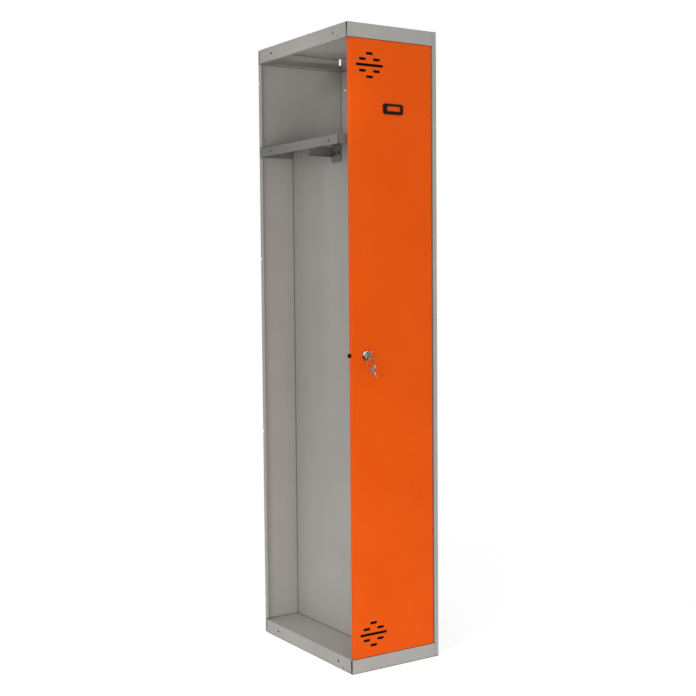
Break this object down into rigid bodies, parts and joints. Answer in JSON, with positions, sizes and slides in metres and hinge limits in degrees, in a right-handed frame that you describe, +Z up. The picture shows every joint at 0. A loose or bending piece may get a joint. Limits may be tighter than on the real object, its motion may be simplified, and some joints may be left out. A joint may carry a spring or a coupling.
{
  "type": "locker",
  "caption": "Tall steel add-on locker, open on its left side, with an orange hinged door, cam lock and keys, vent slots, hat shelf, partition and coat hooks.",
  "frame": {"origin": "centre of the carcass's footprint, on the floor", "axes": "+Z up, -Y out of the door, +X towards the hinge side and the closed right wall"},
  "size_m": [0.304, 0.5508, 1.8],
  "materials": {
    "carcass_paint": "warm grey powder coat, fine orange-peel satin",
    "fittings_paint": "darker grey powder coat of the shelf and the hooks",
    "door_paint": "orange powder coat, satin",
    "zinc_fasteners": "bright zinc plate",
    "bush_plastic": "black nylon",
    "card_plastic": "black moulded plastic",
    "lock_chrome": "bright chrome",
    "lock_hardware": "bright zinc plate",
    "cam_black": "black finish",
    "vent_black": "black woven gauze",
    "key_nickel": "bright nickel plate"
  },
  "bodies": {
    "carcass": {"bottom_tray": "carcass_paint", "top_tray": "carcass_paint", "right_side_panel": "carcass_paint", "back_panel": "carcass_paint", "hat_shelf": "fittings_paint", "partition": "carcass_paint", "left_coat_hook": "fittings_paint", "right_coat_hook": "fittings_paint", "tray_bolts": "zinc_fasteners", "tray_nuts": "zinc_fasteners", "shelf_bolts": "zinc_fasteners", "shelf_nuts": "zinc_fasteners", "hook_bolts": "zinc_fasteners", "hook_nuts": "zinc_fasteners", "back_panel_rivets": "carcass_paint", "partition_rivets": "carcass_paint", "lower_hinge_bush": "bush_plastic", "upper_hinge_bush": "bush_plastic"},
    "door": {"door_skin": "door_paint", "upper_vent_gauze": "vent_black", "lower_vent_gauze": "vent_black", "door_stiffener": "door_paint", "lower_hinge_plate": "door_paint", "upper_hinge_plate": "door_paint", "lower_hinge_pin": "zinc_fasteners", "upper_hinge_pin": "zinc_fasteners", "card_holder": "card_plastic", "card_holder_rivets": "card_plastic", "lock_housing": "lock_chrome", "lock_washer": "lock_hardware", "lock_nut": "lock_hardware"},
    "lock_barrel": {"lock_plug": "lock_chrome", "lock_cam": "cam_black", "cam_screw": "lock_hardware"},
    "key": {"key": "key_nickel"},
    "key_ring": {"key_ring": "key_nickel"},
    "spare_key": {"spare_key": "key_nickel"}
  },
  "joints": [
    {"name": "door_hinge", "type": "hinge", "parent": "carcass", "child": "door", "pos_m": [0.1225, -0.243, 0.9], "axis": [0, 0, 1], "range_deg": [0, 110]},
    {"name": "lock_turn", "type": "hinge", "parent": "door", "child": "lock_barrel", "pos_m": [-0.096, -0.25, 0.8915], "axis": [0, -1, 0], "range_deg": [0, 90]},
    {"name": "key_pull", "type": "slide", "parent": "lock_barrel", "child": "key", "axis": [0, -1, 0], "range_m": [0, 0.022]},
    {"name": "ring_swing", "type": "hinge", "parent": "key", "child": "key_ring", "pos_m": [-0.096, -0.272, 0.88375], "axis": [-1, 0, 0], "range_deg": [-4, 60]},
    {"name": "spare_key_swing", "type": "hinge", "parent": "key_ring", "child": "spare_key", "pos_m": [-0.096, -0.272, 0.85475], "axis": [-1, 0, 0], "range_deg": [-4, 40]}
  ]
}
